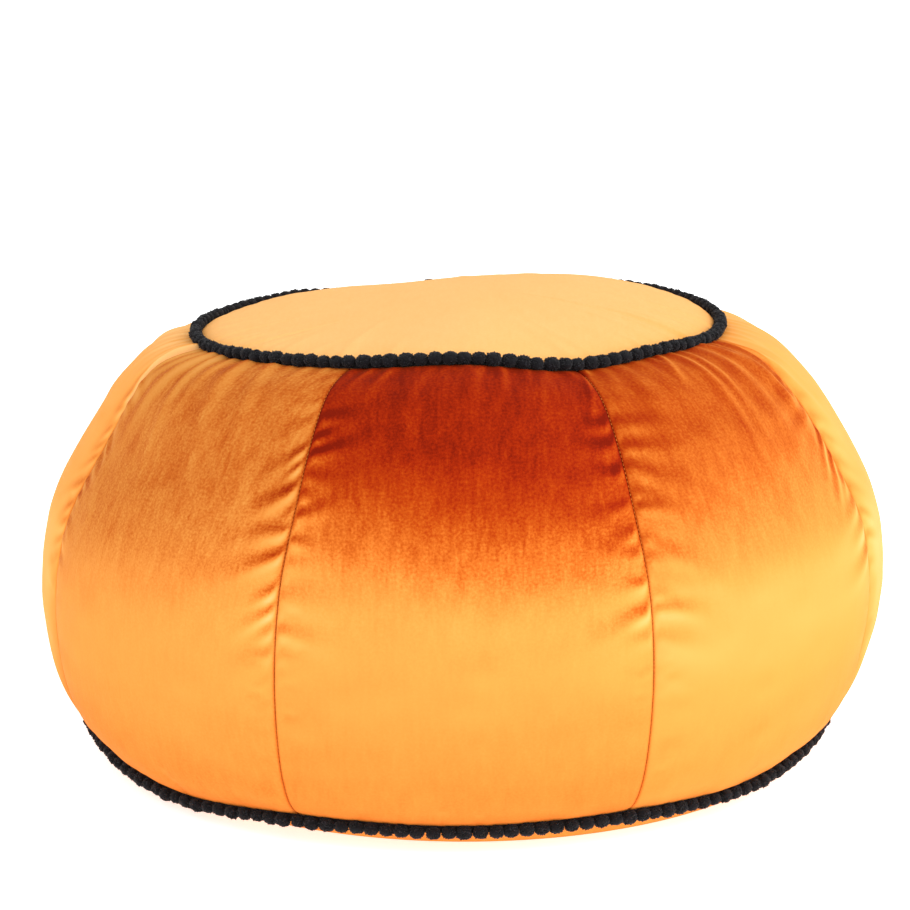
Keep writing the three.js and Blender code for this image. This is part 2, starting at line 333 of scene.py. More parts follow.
def limited(value, limit):
    """A value kept between a limit below 0 and the same one above it"""
    return np.clip(value, -limit, limit)


def eased(count, crowding):
    """Steps from 0 to 1 that crowd towards both ends"""
    t = np.linspace(0, 1, count + 1)
    return (1 - crowding) * t + crowding * (0.5 - 0.5 * np.cos(math.pi * t))


def unit(vectors):
    """Vectors brought to a length of 1"""
    return vectors / np.maximum(np.linalg.norm(vectors, axis=-1, keepdims=True), TINY)


def polar(radius, angle, height):
    """A point at a radius, an angle from the front (-Y) towards +X, and a height"""
    return np.stack(np.broadcast_arrays(radius * np.sin(angle), -radius * np.cos(angle), height), -1)


def widened(angle):
    """Where an angle lands once the front panels are widened and the back ones narrowed"""
    return angle + WIDEN * np.sin(angle)


def panel_angle(panel, across):
    """Angle of a place across a side panel, from -1 at its first seam to 1 at its last one"""
    return widened((panel + across / 2) * TURN / GORES)


def valley(distance):
    """Depth of the soft dip beside a seam"""
    return VALLEY["depth"] * np.exp(-2 * (distance / VALLEY["reach"]) ** 2)


def crease(distance):
    """Depth of the tight fold at a seam"""
    return CREASE["depth"] * np.exp(-distance / CREASE["reach"])


def side_curve():
    """Radius and height of the side at the middle of a panel, with the length up to each point"""
    ends = []
    for ring in (BASE_RING, TOP_RING):
        out_x, out_z = ring["outward"]
        ends.append((ring["radius"] + out_x * VALLEY["depth"], ring["height"] + out_z * VALLEY["depth"]))
    rows = [ends[0], *[(share * RADIUS, height) for share, height in SIDE_PROFILE], ends[1]]
    points = resample(np.array(rows), np.linspace(0, len(rows) - 1, PROFILE_STEPS), 0)
    steps = np.hypot(*np.diff(points, axis=0).T)
    return points, np.concatenate([[0], np.cumsum(steps)])


SIDE_POINTS, SIDE_LENGTHS = side_curve()
SIDE_LENGTH = SIDE_LENGTHS[-1]


def side_at(share):
    """Radius and height of the side at a share of its length, from below"""
    length = share * SIDE_LENGTH
    return (np.interp(length, SIDE_LENGTHS, SIDE_POINTS[:, column]) for column in (0, 1))


def seam_distances(share, across):
    """Distances from the nearer side seam, the top seam and the base seam"""
    radius, _ = side_at(share)
    return (1 - abs(across)) * HALF_GORE * radius, (1 - share) * SIDE_LENGTH, share * SIDE_LENGTH


def side_surface(share, across, panel):
    """The stuffed side panel before its cloth settles"""
    angle = panel_angle(panel, across)
    radius, height = side_at(share)
    swell = np.sin(math.pi * np.clip(share, 0, 1)) ** SWELL_POWER
    lower, upper = 1 - smooth(share, *WITH_BASE), smooth(share, *WITH_TOP)
    from_edge, from_top, from_base = seam_distances(share, across)
    end = valley(np.minimum(from_top, from_base))
    off_centre = LEAN * np.sin(angle) * (lower + smooth(share, *OFF_CENTRE_WITH_TOP))
    radius = radius - BULGE * across ** 4 * swell - valley(from_edge) * swell + off_centre
    height = height + ring_wave(BASE_RING, angle) * lower + ring_wave(TOP_RING, angle) * upper
    out_x, out_z = (
        np.where(share < 0.5, low, high) for low, high in zip(BASE_RING["outward"], TOP_RING["outward"]))
    return polar(radius - end * out_x, angle, height - end * out_z)


def normals_of(grid):
    """Outward normals of a grid whose rows rise and whose columns run towards +X at the front"""
    return unit(np.cross(np.gradient(grid, axis=1), np.gradient(grid, axis=0)))


def soft_noise(shape, reach, rng):
    """Even, seeded noise whose bumps are about reach cells wide"""
    raw = np.fft.fft2(rng.normal(size=shape))
    rows = np.fft.fftfreq(shape[0])[:, None]
    columns = np.fft.fftfreq(shape[1])[None]
    calm = np.real(np.fft.ifft2(raw * np.exp(-(rows ** 2 + columns ** 2) * (2 * reach) ** 2)))
    return calm / calm.std()


# Folds that the seams pull into the velvet, as heights along the normal

def seam_puckers(share, across, panel):
    """Short folds that start at the two side seams and slant down on their way in"""
    rng = np.random.default_rng(PUCKER["seed"] + panel)
    first, last = PUCKER["between"]
    slopes = PUCKER["slope"] if panel % (GORES // 2) else PUCKER["slope_front_and_back"]
    radius, _ = side_at(share)
    along = share * SIDE_LENGTH
    field = np.zeros_like(share)
    for side in (-1, 1):
        inward = (1 - side * across) * HALF_GORE * radius
        start = first * SIDE_LENGTH
        while start < last * SIDE_LENGTH:
            place = start / SIDE_LENGTH
            strong = smooth(place, *PUCKER["setting_in"]) * (1 - smooth(place, *PUCKER["fading_out"]))
            length = rng.uniform(*PUCKER["length"]) * mixed(PUCKER["weak_length"], 1, strong)
            length *= PILE[panel]["reach"]
            depth = rng.uniform(*PUCKER["depth"]) * mixed(PUCKER["weak_depth"], 1, strong)
            depth *= PILE[panel]["pucker"]
            slope = rng.uniform(*slopes)
            width = rng.uniform(*PUCKER["width"])
            turn = (along - (start - slope * inward)) / (width + PUCKER["widening"] * inward)
            fold = near(turn, 1) - PUCKER["furrow_depth"] * near(turn - PUCKER["furrow_place"], 1)
            field += depth * fold * near(inward, length) * (1 - near(inward, SEAM_CLEAR))
            start += rng.uniform(*PUCKER["pitch"])
    return field


def ring_folds(folds, ring, distance, angle):
    """Folds that run away from a ring seam, a few of them long"""
    rng = np.random.default_rng(folds["seed"])
    field = np.zeros_like(distance)
    at = 0.0
    while at < TURN:
        grown = LONG_FOLD if rng.random() < LONG_FOLD["share"] else SHORT_FOLD
        length = rng.uniform(*folds["length"]) * grown["length"]
        pull = sum(near(at - place, PULL["reach"]) for place in folds["pulled"])
        height = rng.uniform(*FOLD["strength"]) * folds["depth"] * grown["depth"]
        height *= 1 + PULL["depth"] * pull
        length = min(length * (1 + PULL["length"] * pull), PULL["longest"])
        width = rng.uniform(*FOLD["width"]) * grown["width"]
        drift = rng.uniform(*FOLD["drift"])
        turn = np.mod(angle - at + math.pi, TURN) - math.pi
        beside = (turn * ring["radius"] + drift * distance) / width
        field += height * np.exp(-beside ** 2 - (distance / length) ** 2)
        at += rng.uniform(*FOLD["spacing"]) * folds["pitch"] / ring["radius"]
    return field * (1 - near(distance, FOLD["clear"]))


# The cloth simulation of a stuffed panel

def grid_faces(rows, columns, closed=False):
    """Four-sided faces of a grid of points, row by row"""
    faces = []
    for row in range(rows - 1):
        for column in range(columns if closed else columns - 1):
            beside = (column + 1) % columns
            low, high = row * columns, (row + 1) * columns
            faces.append((low + column, low + beside, high + beside, high + column))
    return faces


def settled(start, flat):
    """Cloth pinned along its sewn edges and pushed out by its filling. Flat is its cut, which is longer
    than its seams."""
    mesh = bpy.data.meshes.new("settling")
    mesh.from_pydata((start.reshape(-1, 3) * MM).tolist(), [], grid_faces(*start.shape[:2]))
    cloth = bpy.data.objects.new("settling", mesh)
    bpy.context.scene.collection.objects.link(cloth)
    cloth.shape_key_add(name="Basis")
    cut = cloth.shape_key_add(name="cut")
    cut.data.foreach_set("co", (flat * MM).ravel())
    index = np.arange(start.shape[0] * start.shape[1]).reshape(start.shape[:2])
    edge = np.concatenate([index[0], index[-1], index[:, 0], index[:, -1]])
    sewn = cloth.vertex_groups.new(name="sewn")
    sewn.add([int(at) for at in np.unique(edge)], 1.0, "REPLACE")
    modifier = cloth.modifiers.new("cloth", "CLOTH")
    modifier.collision_settings.use_collision = False
    modifier.point_cache.frame_start, modifier.point_cache.frame_end = 1, CLOTH_FRAMES
    for name, value in CLOTH_SETTINGS.items():
        setattr(modifier.settings, name, value)
    modifier.settings.vertex_group_mass = sewn.name
    modifier.settings.rest_shape_key = cut
    modifier.settings.effector_weights.gravity = 0
    for step in range(1, CLOTH_FRAMES + 1):
        bpy.context.scene.frame_set(step)
    evaluated = cloth.evaluated_get(bpy.context.evaluated_depsgraph_get())
    result = np.empty(start.size)
    evaluated.data.vertices.foreach_get("co", result)
    bpy.data.objects.remove(cloth)
    bpy.data.meshes.remove(mesh)
    bpy.context.scene.frame_set(1)
    move = result.reshape(start.shape) / MM - start
    length = np.linalg.norm(move, axis=-1, keepdims=True)
    return start + move * np.minimum(1, CLOTH_REACH / np.maximum(length, TINY))


def settled_panel(panel):
    """A coarse grid of the side panel, after its cloth has settled"""
    share, across = np.meshgrid(
        np.linspace(0, 1, CLOTH_ROWS + 1), np.linspace(-1, 1, CLOTH_COLUMNS + 1), indexing="ij")
    start = side_surface(share, across, panel)
    from_edge, from_top, from_base = seam_distances(share, across)
    rng = np.random.default_rng(UNEVEN["seed"] + panel)
    clear = np.clip(np.minimum(from_edge, np.minimum(from_top, from_base)) / UNEVEN["clear"], 0, 1)
    bumps = UNEVEN["height"] * clear * soft_noise(share.shape, UNEVEN["cells"], rng)
    start = start + normals_of(start) * bumps[..., None]
    inner = np.clip((share - SLACK["ends"]) / (1 - 2 * SLACK["ends"]), 0, 1)
    slack = SLACK["share"] * near(from_edge, SLACK["reach"]) * np.sin(math.pi * inner)
    steps = SIDE_LENGTH / CLOTH_ROWS * (1 + slack)
    steps[0] = 0
    up = np.cumsum(steps, axis=0)
    up -= up[CLOTH_ROWS // 2]
    radius, _ = side_at(share)
    flat = np.stack([radius * across * HALF_GORE, 0 * radius, up], -1)
    return settled(start, flat)


# Meshes

def new_piece(name, points, faces, material, values=None):
    """A closed, smooth piece of the cushion, with its values at every point"""
    mesh = bpy.data.meshes.new(name)
    mesh.from_pydata((points * MM).tolist(), [], faces)
    for label, data in (values or {}).items():
        kind, field = ("FLOAT_VECTOR", "vector") if data.ndim == 2 else ("FLOAT", "value")
        attribute = mesh.attributes.new(label, kind, "POINT")
        attribute.data.foreach_set(field, data.astype(np.float32).ravel())
    edit = bmesh.new()
    edit.from_mesh(mesh)
    bmesh.ops.recalc_face_normals(edit, faces=edit.faces)
    edit.to_mesh(mesh)
    edit.free()
    mesh.shade_smooth()
    mesh.materials.append(material)
    piece = bpy.data.objects.new(name, mesh)
    bpy.context.scene.collection.objects.link(piece)
    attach(piece, "root")
    return piece


def rim_of(rows, columns):
    """Indexes of the points around a grid, once round"""
    index = np.arange(rows * columns).reshape(rows, columns)
    return np.concatenate([index[0, :-1], index[:-1, -1], index[-1, :0:-1], index[:0:-1, 0]])


def closed_by(points, faces, rim, outward, hub):
    """Turns the rim of a surface in behind it, and closes it around a hub inside the filling"""
    count, size = len(points), len(rim)
    tucked = points[rim] - outward[rim] * TUCK
    faces = list(faces)
    for at in range(size):
        beside = (at + 1) % size
        faces.append((int(rim[at]), int(rim[beside]), count + beside, count + at))
        faces.append((count + at, count + beside, count + size))
    return np.concatenate([points, tucked, np.array([hub], float)]), faces


def disc_faces(rows, inner_row):
    """Faces of rings of points, and a fan from the innermost ring to the point that follows them all"""
    faces = grid_faces(rows, ROUND_COLUMNS, closed=True)
    first, middle = inner_row * ROUND_COLUMNS, rows * ROUND_COLUMNS
    return faces + [(first + at, first + (at + 1) % ROUND_COLUMNS, middle) for at in range(ROUND_COLUMNS)]


def padded_out(values, count):
    """Values for the points behind the seams too, which nobody sees"""
    return np.concatenate([values, np.repeat(values[-1:], count - len(values), axis=0)])


def painted_fold_shading(tilts, lean, from_top):
    """Painted shade and light of the folds and of the cloth's own unevenness: how much deeper they make the
    pile look, by how far they face up and turn sideways
    """
    plain, settled_cloth, folded = tilts
    folds = limited(folded - settled_cloth, FOLD_PAINTED_SHADING["tilt_limit"])
    folds = folds - FOLD_PAINTED_SHADING["lean_weight"] * limited(lean, FOLD_PAINTED_SHADING["lean_limit"])
    strength = mixed(FOLD_PAINTED_SHADING["above"], FOLD_PAINTED_SHADING["below"], smooth(from_top, *PAINTED_UNDERSIDE_SHADE["between"]))
    uneven = CLOTH_PAINTED_SHADING["weight"] * limited(settled_cloth - plain, CLOTH_PAINTED_SHADING["tilt_limit"])
    return folds * strength + uneven


def pile_tone_with_painted_light(tilts, lean, across, from_top, from_edge, panel):
    """Tone of the pile, from 0, deep, to 1, pale, with painted shade and light, its painted dimming and the
    strength of its grain.
    Tilts are how far the plain panel, its settled cloth and the folded cloth face up. Lean is how far
    the folds turn the cloth sideways."""
    pile = PILE[panel]
    start, end = pile["fade"]
    shift = pile["skew"] * across - pile["arch"] * across ** 2
    # painted shade on the upper part, where the pile leans back
    nap_shaded = 1 - smooth(from_top, start + shift, end + shift)
    # painted light where the pile faces nearly level, and painted shade on the underside
    lit = pile["lit"] + PAINTED_SHINE["tone"] * near(tilts[0] - PAINTED_SHINE["tilt"], PAINTED_SHINE["reach"])
    lit = lit - PAINTED_UNDERSIDE_SHADE["tone"] * smooth(from_top, *PAINTED_UNDERSIDE_SHADE["between"])
    # less the painted shade of the upper part and the painted shading of the folds
    tone = lit - (pile["dark"] + pile["turn"] * across) * nap_shaded - painted_fold_shading(tilts, lean, from_top)
    # painted shade beside the seams, painted shadow beside the trim and painted shade in the crease
    tone -= pile["edge"] * near(from_edge, EDGE_REACH)
    tone -= PAINTED_TRIM_SHADOW["tone"] * near(from_top, PAINTED_TRIM_SHADOW["reach"])
    tone -= PAINTED_CREASE_SHADE["tone"] * near(from_edge, PAINTED_CREASE_SHADE["reach"])
    off_pale = 1 - smooth(tone, *GRAIN["pale"])
    left = mixed(GRAIN["share_when_deep"], 1, smooth(tone, *GRAIN["deep"]))
    grain = GRAIN["least"] + GRAIN["growth"] * off_pale * left
    grain *= mixed(1, GRAIN["share_when_low"], smooth(from_top, *GRAIN["low"]))
    return np.minimum(tone, PALEST), pile["painted_dimming"] * nap_shaded, grain * pile["grain"]


def side_panel(panel, material):
    """A side panel: its settled cloth with puckers, folds and creased seams, closed behind"""
    shares, acrosses = eased(ROWS, ROW_CROWDING), 2 * eased(COLUMNS, COLUMN_CROWDING) - 1
    fine = resample(settled_panel(panel), shares * CLOTH_ROWS, 0)
    fine = resample(fine, (acrosses + 1) / 2 * CLOTH_COLUMNS, 1)
    share, across = np.meshgrid(shares, acrosses, indexing="ij")
    angle = panel_angle(panel, across)
    from_edge, from_top, from_base = seam_distances(share, across)
    height = seam_puckers(share, across, panel)
    height += ring_folds(FOLDS["side_top"], TOP_RING, from_top, angle)
    height += ring_folds(FOLDS["side_base"], BASE_RING, from_base, angle)
    height *= 1 - near(np.minimum(from_edge, np.minimum(from_top, from_base)), SEAM_CLEAR)
    normals = normals_of(fine)
    folded = fine + normals * height[..., None]
    facing = [normals_of(grid) for grid in (side_surface(share, across, panel), fine, folded)]
    tilts = [normal[..., 2] for normal in facing]
    lean = ((facing[2] - facing[1]) * polar(1.0, angle + TURN / 4, 0)).sum(-1)
    first_seam, last_seam = panel_angle(panel, -1), panel_angle(panel, 1)
    clearance = GAP / 2 / math.sin((last_seam - first_seam) / 2)
    surface = folded - normals * crease(from_edge)[..., None]
    surface = surface + polar(clearance, (first_seam + last_seam) / 2, 0)
    outward = normals.copy()
    outward[:, 0], outward[:, -1] = polar(1.0, first_seam, 0), polar(1.0, last_seam, 0)
    hub = polar(SIDE_HUB["radius"], panel * TURN / GORES, SIDE_HUB["height"])
    rows, columns = share.shape
    rim = rim_of(rows, columns)
    points, faces = closed_by(
        surface.reshape(-1, 3), grid_faces(rows, columns), rim, outward.reshape(-1, 3), hub)
    # the tone holds painted shade and light besides the velvet's own colour, and the painted dimming is
    # painted shade
    tone, painted_dimming, grain = pile_tone_with_painted_light(tilts, lean, across, from_top, from_edge, panel)
    radius, _ = side_at(share)
    cut = [across * HALF_GORE * radius + SIDE_CUT_PITCH * panel, share * SIDE_LENGTH, 0 * share]
    values = {
        "tone": padded_out(tone.ravel(), len(points)),
        "painted_dimming": padded_out(painted_dimming.ravel(), len(points)),
        "grain": padded_out(grain.ravel(), len(points)),
        "cloth": padded_out((np.stack(cut, -1) * MM).reshape(-1, 3), len(points)),
    }
    piece = new_piece(f"velvet_side_{panel + 1}", points, faces, material, values)
    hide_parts(f"side_panel_{panel + 1}")


def top_panel(material):
    """The crowned top: rings of points from its seam to its middle"""
    angles = np.arange(ROUND_COLUMNS) / ROUND_COLUMNS * TURN
    shares = 1 - eased(TOP_STEPS, TOP_CROWDING)[:-1]
    share, angle = np.meshgrid(shares, angles, indexing="ij")
    distance = (1 - share) * TOP_RING["radius"]
    height = TOP_RING["height"] + ring_wave(TOP_RING, angle) * share ** 2
    height += CROWN * (1 - share ** 2) ** CROWN_FULLNESS
    height += CROWN_SKEW * np.sin(angle) * share * (1 - share ** 2)
    height += VALLEY["depth"] - valley(distance) - crease(distance)
    height += ring_folds(FOLDS["top"], TOP_RING, distance, angle)
    x, y = share * np.sin(angle), share * np.cos(angle)
    waves = sum(np.sin(along_x * x + along_y * y + start) for along_x, along_y, start in TOP_WAVES)
    height += TOP_UNEVEN * (1 - share ** 4) * waves
    grid = polar(share * (TOP_RING["radius"] + LEAN * np.sin(angle)), angle, height)
    surface = grid.reshape(-1, 3)
    points = np.concatenate([surface, [[0, 0, height[-1].mean()]]])
    faces = disc_faces(len(shares), len(shares) - 1)
    up = np.repeat([[0.0, 0.0, 1.0]], len(points), axis=0)
    hub = (0, 0, TOP_RING["height"] - ROUND_HUB_DEPTH)
    points, faces = closed_by(points, faces, np.arange(ROUND_COLUMNS), up, hub)
    # painted shading: the top's tone changes with how far it faces up
    tilt = normals_of(np.concatenate([grid, grid[:, :1]], axis=1))[:, :-1, 2]
    pile = ROUND_PILE["top"]
    tone = pile["lit"] + pile["change"] * (abs(tilt) - pile["level"])
    cloth = np.stack([surface[:, 0] + TOP_CUT, surface[:, 1], surface[:, 2] * 0], -1) * MM
    values = {
        "tone": padded_out(tone.ravel(), len(points)),
        "grain": np.full(len(points), pile["grain"]),
        "cloth": padded_out(cloth, len(points)),
    }
    piece = new_piece("velvet_top", points, faces, material, values)
    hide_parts("top_panel")


def base_panel(material):
    """The base: flat on the floor, then rolled up to its ring seam"""
    angles = np.arange(ROUND_COLUMNS) / ROUND_COLUMNS * TURN
    step, angle = np.meshgrid(np.linspace(0, 1, ROLL_STEPS + 1), angles, indexing="ij")
    roll = BASE_RING["radius"] + LEAN * np.sin(angle) - CONTACT_RADIUS
    distance = (1 - step) * roll * ROLL["length"]
    folds = ring_folds(FOLDS["base"], BASE_RING, distance, angle) * step
    radius = CONTACT_RADIUS + roll * step + folds * ROLL["fold_out"]
    height = (BASE_RING["height"] + ring_wave(BASE_RING, angle)) * step ** ROLL["rise"]
    grid = polar(radius, angle, height - folds * ROLL["fold_down"] * step)
    surface = grid.reshape(-1, 3)
    points = np.concatenate([surface, [[0, 0, 0]]])
    rim = np.arange(len(surface) - ROUND_COLUMNS, len(surface))
    outward = np.zeros((len(points), 3))
    outward[rim] = polar(1.0, angles, 0)
    points, faces = closed_by(points, disc_faces(len(grid), 0), rim, outward, (0, 0, ROUND_HUB_DEPTH))
    cloth = np.stack([surface[:, 0] + BASE_CUT, surface[:, 1], surface[:, 2]], -1) * MM
    values = {
        "tone": np.full(len(points), ROUND_PILE["base"]["lit"]),
        "grain": np.full(len(points), ROUND_PILE["base"]["grain"]),
        "cloth": padded_out(cloth, len(points)),
    }
    piece = new_piece("velvet_base", points, faces, material, values)
    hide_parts("base_panel")


# The pompom trims

def unit_ball(detail):
    """Points and faces of a ball of radius 1"""
    edit = bmesh.new()
    bmesh.ops.create_icosphere(edit, subdivisions=detail, radius=1)
    points = np.array([vertex.co[:] for vertex in edit.verts])
    faces = np.array([[vertex.index for vertex in face.verts] for face in edit.faces])
    edit.free()
    return points, faces


def even_directions(count):
    """Directions spread evenly over a ball"""
    step = np.arange(count) + 0.5
    height = 1 - 2 * step / count
    turn = step * math.pi * (3 - math.sqrt(5))
    flat = np.sqrt(1 - height ** 2)
    return np.stack([flat * np.cos(turn), flat * np.sin(turn), height], -1)


def yarn_core(rng, ball):
    """The lumpy middle of a pompom: points, faces and shades"""
    directions, faces = ball
    lumps = sum(
        np.sin(directions @ rng.normal(0, CORE["lump_turns"], 3) + rng.uniform(0, TURN))
        for _ in range(CORE["lumps"]))
    points = directions * (CORE["radius"] + CORE["lump"] * lumps)[:, None]
    return points, faces, CORE["shade"] + CORE["shade_spread"] * lumps / CORE["lumps"]


def yarn_tufts(rng, tufts):
    """Clipped tufts, each with three corners at its root and a tip: points, faces and shades"""
    spin, _ = np.linalg.qr(rng.normal(size=(3, 3)))
    out = unit(tufts @ spin + rng.normal(0, TUFT["splay"], tufts.shape))
    side = unit(np.cross(out, rng.normal(size=out.shape)))
    across = np.cross(out, side)
    count = len(out)
    wide = rng.uniform(*TUFT["half_width"], (count, 1))
    corners = [
        out * TUFT["root"] + wide * (side * math.cos(turn) + across * math.sin(turn))
        for turn in TUFT_CORNERS]
    tip = out * rng.uniform(*TUFT["length"], (count, 1)) + rng.normal(0, TUFT["bend"], out.shape)
    shade = rng.random(count)
    root_shades = [shade * TUFT["root_shade"]] * len(corners)
    first = 4 * np.arange(count)[:, None]
    faces = np.concatenate([first + np.array(face) for face in TUFT_FACES])
    points = np.stack([*corners, tip], 1).reshape(-1, 3)
    return points, faces, np.stack([*root_shades, shade], 1).ravel()


def pompom(rng, ball, tufts):
    """A pompom of radius 1, pressed between its neighbours, with a shade for each point"""
    core, core_faces, core_shades = yarn_core(rng, ball)
    yarn_ends, end_faces, end_shades = yarn_tufts(rng, tufts)
    points = np.concatenate([core, yarn_ends])
    points[:, 0] = np.tanh(POMPOM["pressed"] * points[:, 0]) / math.tanh(POMPOM["pressed"])
    faces = np.concatenate([core_faces, end_faces + len(core)])
    return points, faces, np.concatenate([core_shades, end_shades])


def ring_place(ring, angle, seat):
    """A point over a ring's stitch line"""
    out_x, out_z = ring["outward"]
    radius = ring["radius"] + LEAN * np.sin(angle) + out_x * seat
    return polar(radius, angle, ring["height"] + ring_wave(ring, angle) + out_z * seat)


def braid(ring):
    """The closed braid that a trim's pompoms are sewn to: points, faces and shades"""
    steps, sides = ring["pompoms"] * BRAID["steps"], BRAID["sides"]
    angles = np.arange(steps) / steps * TURN
    centre = ring_place(ring, angles, BRAID["seat"])
    tube = [
        centre + polar(BRAID["radius"] * math.cos(turn), angles, BRAID["radius"] * math.sin(turn))
        for turn in np.arange(sides) / sides * TURN]
    points = np.concatenate(tube)
    faces = np.array(grid_faces(sides + 1, steps, closed=True)) % len(points)
    return points, faces, np.full(len(points), BRAID["shade"])


def pompom_trim(name, node, ring, material):
    """A string of touching pompoms on a braid"""
    rng = np.random.default_rng(ring["seed"])
    ball, tufts = unit_ball(POMPOM["ball_detail"]), even_directions(POMPOM["tufts"])
    out_x, out_z = ring["outward"]
    points, faces, shades = [], [], []
    total = 0
    for number in range(ring["pompoms"]):
        angle = (number + rng.uniform(-POMPOM["stray"], POMPOM["stray"])) / ring["pompoms"] * TURN
        along = polar(1.0, angle + TURN / 4, 0)
        out = unit(polar(out_x, angle, out_z))
        directions = (along, np.cross(along, out), out)
        size = rng.uniform(*POMPOM["size"])
        shape, links, shade = pompom(rng, ball, tufts)
        axes = np.stack([way * half for way, half in zip(directions, POMPOM["half_sizes"])]) * size
        seat = POMPOM["seat"] + rng.uniform(-POMPOM["seat_spread"], POMPOM["seat_spread"])
        points.append(shape @ axes + ring_place(ring, angle, seat))
        faces.append(links + total)
        shades.append(shade)
        total += len(shape)
    string, string_faces, string_shades = braid(ring)
    faces = np.concatenate(faces).tolist() + (string_faces + total).tolist()
    values = {"shade": np.concatenate([*shades, string_shades])}
    piece = new_piece(name, np.concatenate([*points, string]), faces, material, values)
    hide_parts(node)


# Stitches in the side seams

def seam_thread(material):
    """Short stitches lying in the creases of the eight side seams"""
    count = int((SIDE_LENGTH - 2 * STITCH["clear"]) / STITCH["pitch"])
    shares = (STITCH["clear"] + STITCH["pitch"] * np.arange(count)) / SIDE_LENGTH
    half_length, half_width = STITCH["half_sizes"]
    ball, ball_faces = unit_ball(STITCH["ball_detail"])
    points, faces = [], []
    total = 0
    for seam in range(GORES):
        edge = np.ones_like(shares)
        line = side_surface(shares, edge, seam)
        ahead = unit(side_surface(shares + STITCH["step"], edge, seam) - line)
        beside = polar(1.0, panel_angle(seam, 1) + TURN / 4, 0)
        out = np.cross(beside, ahead)
        centre = line + out * (STITCH["above"] - CREASE["depth"])
        for at in range(count):
            shape = np.stack([ahead[at] * half_length, beside * half_width, out[at] * half_width])
            points.append(ball @ shape + centre[at])
            faces.append(ball_faces + total)
            total += len(ball)
    new_piece("seam_thread", np.concatenate(points), np.concatenate(faces).tolist(), material)


# Materials

def linear(code):
    """Linear colour of a six-digit code"""
    colour = []
    for at in (0, 2, 4):
        value = int(code[at:at + 2], 16) / 255
        colour.append(((value + 0.055) / 1.055) ** 2.4 if value > 0.04045 else value / 12.92)
    return [*colour, 1.0]


class Nodes:
    """A material's node tree, with short calls to add to it"""

    def __init__(self, name):
        self.material = bpy.data.materials.new(name)
        self.material.use_nodes = True
        self.tree = self.material.node_tree
        self.shader = self.tree.nodes["Principled BSDF"]

    def add(self, kind, inputs=None, **settings):
        """A new node with its inputs and settings"""
        node = self.tree.nodes.new(kind)
        for key, value in settings.items():
            setattr(node, key, value)
        for socket, value in (inputs or {}).items():
            self.feed(node.inputs[socket], value)
        return node

    def feed(self, socket, value):
        """Links an input to another node's output, or sets it"""
        if isinstance(value, bpy.types.NodeSocket):
            self.tree.links.new(value, socket)
        else:
            socket.default_value = value

    def shade(self, inputs):
        """Sets the inputs of the shader itself"""
        for socket, value in inputs.items():
            self.feed(self.shader.inputs[socket], value)

    def value_of(self, name):
        """A mesh's own value at each point"""
        return self.add("ShaderNodeAttribute", attribute_name=name).outputs["Fac"]

    def place(self):
        """A point's place on its piece"""
        return self.add("ShaderNodeTexCoord").outputs["Object"]

    def math(self, operation, first, second):
        """Two values combined"""
        return self.add("ShaderNodeMath", {0: first, 1: second}, operation=operation).outputs[0]

    def spread(self, value, width, middle):
        """A value around 0, scaled to a width and moved to lie around the middle"""
        return self.math("ADD", self.math("MULTIPLY", value, width), middle)

    def noise(self, vector, scale, detail, roughness):
        """Noise around 0"""
        node = self.add("ShaderNodeTexNoise", {
            "Vector": vector, "Scale": scale, "Detail": detail, "Roughness": roughness})
        return self.math("SUBTRACT", node.outputs[0], 0.5)

    def ramp(self, value, stops):
        """Colours along a value"""
        node = self.add("ShaderNodeValToRGB", {0: value})
        elements = node.color_ramp.elements
        while len(elements) < len(stops):
            elements.new(0.5)
        for element, (place, code) in zip(elements, stops):
            element.position = place
            element.color = linear(code)
        return node.outputs[0]

    def bump(self, height, distance, strength):
        """Fine relief in the shading, with its depth in metres"""
        node = self.add("ShaderNodeBump", {"Height": height, "Distance": distance, "Strength": strength})
        self.feed(self.shader.inputs["Normal"], node.outputs[0])


# Velvet colours along the tone's whole span: the velvet's own colour, from its deepest painted shade, where
# the pile leans back, to its palest painted light
VELVET_STOPS = [
    (0.00, "7d1702"), (0.10, "9c2403"), (0.20, "b03906"), (0.31, "c35211"), (0.44, "da7024"),
    (0.56, "e98a38"), (0.66, "f19c46"), (0.75, "f7aa56"), (0.86, "fab86d"), (1.00, "fbce8c"),
]
TONE_SPAN = 1.2

# Unevenness of the pile, from coarse to fine: the scale, detail and roughness of its noise, how its marks
# are combed along the pile, where 1 is not at all and less is longer, and its weight in the tone
VELVET_GRAIN = {
    "patches": {"noise": (26, 3, 0.6), "comb": 0.45, "weight": 0.19},
    "strokes": {"noise": (110, 3, 0.6), "comb": 0.45, "weight": 0.2},
    "marks": {"noise": (300, 2, 0.5), "comb": 0.22, "weight": 0.18},
    "pile": {"noise": (560, 3, 0.6), "comb": 1.0, "weight": 0.38},
}

# Scale, detail and roughness of the other noises
VELVET_FIBRES = (1500, 1, 0.5)
YARN_FIBRES = (1400, 2, 0.6)
THREAD_TWIST = (900, 1, 0.5)
FLOOR_GRAIN = (6, 3, 0.5)

# Shares of fibres and strokes in the velvet's relief, and of fibres in the yarn's shade
RELIEF = {"fibres": 0.5, "strokes": 0.8}
YARN_MOTTLE = 0.6

# Colours of the yarn, from root to tip, of the thread and of the floor
YARN_STOPS = [(0.0, "040406"), (0.4, "0f0e12"), (0.75, "24232a"), (1.0, "4e4c57")]
THREAD_STOPS = [(0.3, "b0501a"), (0.7, "d57d30")]
FLOOR_STOPS = [(0.2, "f9f9f9"), (0.8, "fcfcfc")]
WHITE = (1, 1, 1, 1)


